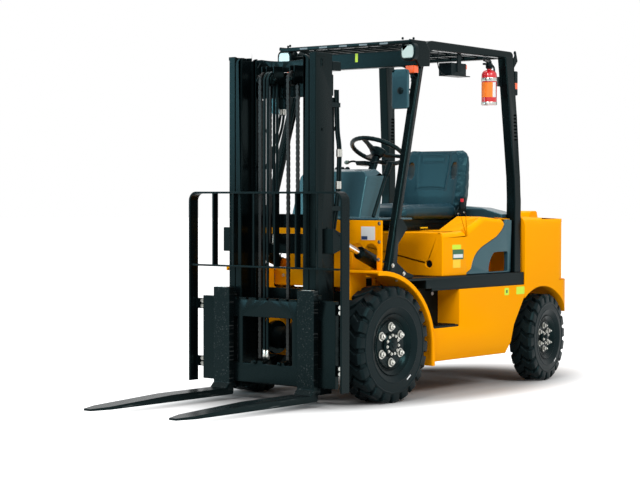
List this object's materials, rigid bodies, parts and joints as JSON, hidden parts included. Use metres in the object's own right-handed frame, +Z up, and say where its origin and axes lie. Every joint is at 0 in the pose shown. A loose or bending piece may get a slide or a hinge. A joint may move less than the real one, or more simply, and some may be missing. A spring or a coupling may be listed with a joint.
{
  "type": "counterbalance forklift truck",
  "caption": "Diesel counterbalance forklift with a two-stage mast, load backrest, forks, open cab under an overhead guard and a rear counterweight.",
  "frame": {"origin": "centre of the overall box at floor level", "axes": "+X forwards along the forks, +Y to the truck's left, +Z up"},
  "size_m": [3.648, 1.2214, 2.105],
  "materials": {
    "frame": "gloss",
    "fenders": "gloss",
    "cowl": "gloss",
    "floor_plate": "ribbed matt",
    "dashboard": "fine grain",
    "steering_column": "fine grain",
    "controls": "satin",
    "engine": "cast",
    "drive_axle": "painted black",
    "steer_axle": "painted black",
    "counterweight": "gloss over a casting",
    "engine_covers": "fine grain",
    "overhead_guard": "satin",
    "guard_bars": "satin",
    "beacon": "fine grain",
    "headlamps": "clear lens",
    "signal_lamps": "coloured lens",
    "mirrors": "fine grain",
    "fire_extinguisher": "gloss",
    "steering_wheel": "soft grip",
    "hood": "gloss",
    "seat_base": "satin",
    "seat_cushion": "vinyl cover",
    "seat_back": "vinyl cover",
    "outer_mast": "satin",
    "lift_barrels": "satin",
    "inner_mast": "satin",
    "lift_rods": "hard chrome",
    "chain_front": "oiled",
    "chain_rear": "oiled",
    "hose_front": "smooth",
    "hose_rear": "smooth",
    "carriage": "satin",
    "load_backrest": "satin",
    "fork_left": "worn satin",
    "fork_right": "worn satin",
    "tilt_barrel_left": "satin",
    "tilt_barrel_right": "satin",
    "tilt_rod_left": "hard chrome",
    "tilt_rod_right": "hard chrome",
    "knuckle_left": "painted black",
    "knuckle_right": "painted black",
    "tyre_front_left": "solid rubber",
    "rim_front_left": "satin",
    "tyre_front_right": "solid rubber",
    "rim_front_right": "satin",
    "tyre_rear_left": "solid rubber",
    "rim_rear_left": "satin",
    "tyre_rear_right": "solid rubber",
    "rim_rear_right": "satin"
  },
  "bodies": {
    "chassis": {"frame": "frame", "fenders": "fenders", "cowl": "cowl", "floor_plate": "floor_plate", "dashboard": "dashboard", "steering_column": "steering_column", "controls": "controls", "engine": "engine", "drive_axle": "drive_axle", "steer_axle": "steer_axle", "counterweight": "counterweight", "engine_covers": "engine_covers", "overhead_guard": "overhead_guard", "guard_bars": "guard_bars", "beacon": "beacon", "headlamps": "headlamps", "signal_lamps": "signal_lamps", "mirrors": "mirrors", "fire_extinguisher": "fire_extinguisher"},
    "steering": {"steering_wheel": "steering_wheel"},
    "hood_assembly": {"hood": "hood", "seat_base": "seat_base", "seat_cushion": "seat_cushion", "seat_back": "seat_back"},
    "mast": {"outer_mast": "outer_mast", "lift_barrels": "lift_barrels", "chain_rear": "chain_rear", "hose_rear": "hose_rear"},
    "mast_inner": {"inner_mast": "inner_mast", "lift_rods": "lift_rods", "chain_front": "chain_front", "hose_front": "hose_front"},
    "fork_carriage": {"carriage": "carriage", "load_backrest": "load_backrest"},
    "tine_left": {"fork_left": "fork_left"},
    "tine_right": {"fork_right": "fork_right"},
    "tilt_left": {"tilt_barrel_left": "tilt_barrel_left"},
    "tilt_right": {"tilt_barrel_right": "tilt_barrel_right"},
    "tilt_left_rod": {"tilt_rod_left": "tilt_rod_left"},
    "tilt_right_rod": {"tilt_rod_right": "tilt_rod_right"},
    "steer_left": {"knuckle_left": "knuckle_left"},
    "steer_right": {"knuckle_right": "knuckle_right"},
    "wheel_front_left": {"tyre_front_left": "tyre_front_left", "rim_front_left": "rim_front_left"},
    "wheel_front_right": {"tyre_front_right": "tyre_front_right", "rim_front_right": "rim_front_right"},
    "wheel_rear_left": {"tyre_rear_left": "tyre_rear_left", "rim_rear_left": "rim_rear_left"},
    "wheel_rear_right": {"tyre_rear_right": "tyre_rear_right", "rim_rear_right": "rim_rear_right"}
  },
  "joints": [
    {"name": "tilt", "type": "hinge", "parent": "chassis", "child": "mast", "pos_m": [0.269, 0, 0.335], "axis": [0, 1, 0], "range_deg": [-10, 6]},
    {"name": "lift", "type": "slide", "parent": "mast", "child": "mast_inner", "axis": [0, 0, 1], "range_m": [0, 1.48], "deforming": ["chain_rear", "hose_rear"]},
    {"name": "carriage_lift", "type": "slide", "parent": "mast_inner", "child": "fork_carriage", "axis": [0, 0, 1], "range_m": [0, 1.48], "deforming": ["chain_front", "hose_front"]},
    {"name": "fork_left_shift", "type": "slide", "parent": "fork_carriage", "child": "tine_left", "axis": [0, 1, 0], "range_m": [-0.24, 0.11]},
    {"name": "fork_right_shift", "type": "slide", "parent": "fork_carriage", "child": "tine_right", "axis": [0, -1, 0], "range_m": [-0.24, 0.11]},
    {"name": "tilt_left_swing", "type": "hinge", "parent": "chassis", "child": "tilt_left", "pos_m": [0.145, 0.38, 0.782], "axis": [0, 1, 0], "range_deg": [-11.9, 7.26]},
    {"name": "tilt_right_swing", "type": "hinge", "parent": "chassis", "child": "tilt_right", "pos_m": [0.145, -0.38, 0.782], "axis": [0, 1, 0], "range_deg": [-11.9, 7.26]},
    {"name": "tilt_left_stroke", "type": "slide", "parent": "tilt_left", "child": "tilt_left_rod", "axis": [0.9341, 0, 0.3571], "range_m": [-0.0809, 0.049]},
    {"name": "tilt_right_stroke", "type": "slide", "parent": "tilt_right", "child": "tilt_right_rod", "axis": [0.9341, 0, 0.3571], "range_m": [-0.0809, 0.049]},
    {"name": "hood_open", "type": "hinge", "parent": "chassis", "child": "hood_assembly", "pos_m": [-0.993, 0, 1.05], "axis": [0, -1, 0], "range_deg": [0, 22]},
    {"name": "steer", "type": "hinge", "parent": "chassis", "child": "steer_left", "pos_m": [-1.361, 0.4, 0.278], "axis": [0, 0, 1], "range_deg": [-78, 62]},
    {"name": "steer_right_follow", "type": "hinge", "parent": "chassis", "child": "steer_right", "pos_m": [-1.361, -0.4, 0.278], "axis": [0, 0, 1], "range_deg": [-78, 62]},
    {"name": "steering_wheel_turn", "type": "hinge", "parent": "chassis", "child": "steering", "pos_m": [-0.331, 0, 1.462], "axis": [-0.454, 0, 0.891], "range_deg": [-780, 620]},
    {"name": "roll_front_left", "type": "hinge", "parent": "chassis", "child": "wheel_front_left", "pos_m": [0.269, 0.488, 0.335], "axis": [0, 1, 0], "continuous": true},
    {"name": "roll_front_right", "type": "hinge", "parent": "chassis", "child": "wheel_front_right", "pos_m": [0.269, -0.488, 0.335], "axis": [0, 1, 0], "continuous": true},
    {"name": "roll_rear_left", "type": "hinge", "parent": "steer_left", "child": "wheel_rear_left", "pos_m": [-1.37506, 0.50002, 0.278], "axis": [-0.1392, 0.9903, 0], "continuous": true},
    {"name": "roll_rear_right", "type": "hinge", "parent": "steer_right", "child": "wheel_rear_right", "pos_m": [-1.34694, -0.50002, 0.278], "axis": [-0.1392, 0.9903, 0], "continuous": true}
  ],
  "couplings": [
    {"joint": "carriage_lift", "follows": "lift", "ratio": 1},
    {"joint": "tilt_left_swing", "follows": "tilt", "ratio": 1.16},
    {"joint": "tilt_right_swing", "follows": "tilt", "ratio": 1.16},
    {"joint": "tilt_left_stroke", "follows": "tilt", "m_per_rad": 0.458},
    {"joint": "tilt_right_stroke", "follows": "tilt", "m_per_rad": 0.458},
    {"joint": "steer_right_follow", "follows": "steer", "ratio": 1},
    {"joint": "steering_wheel_turn", "follows": "steer", "ratio": 10}
  ]
}
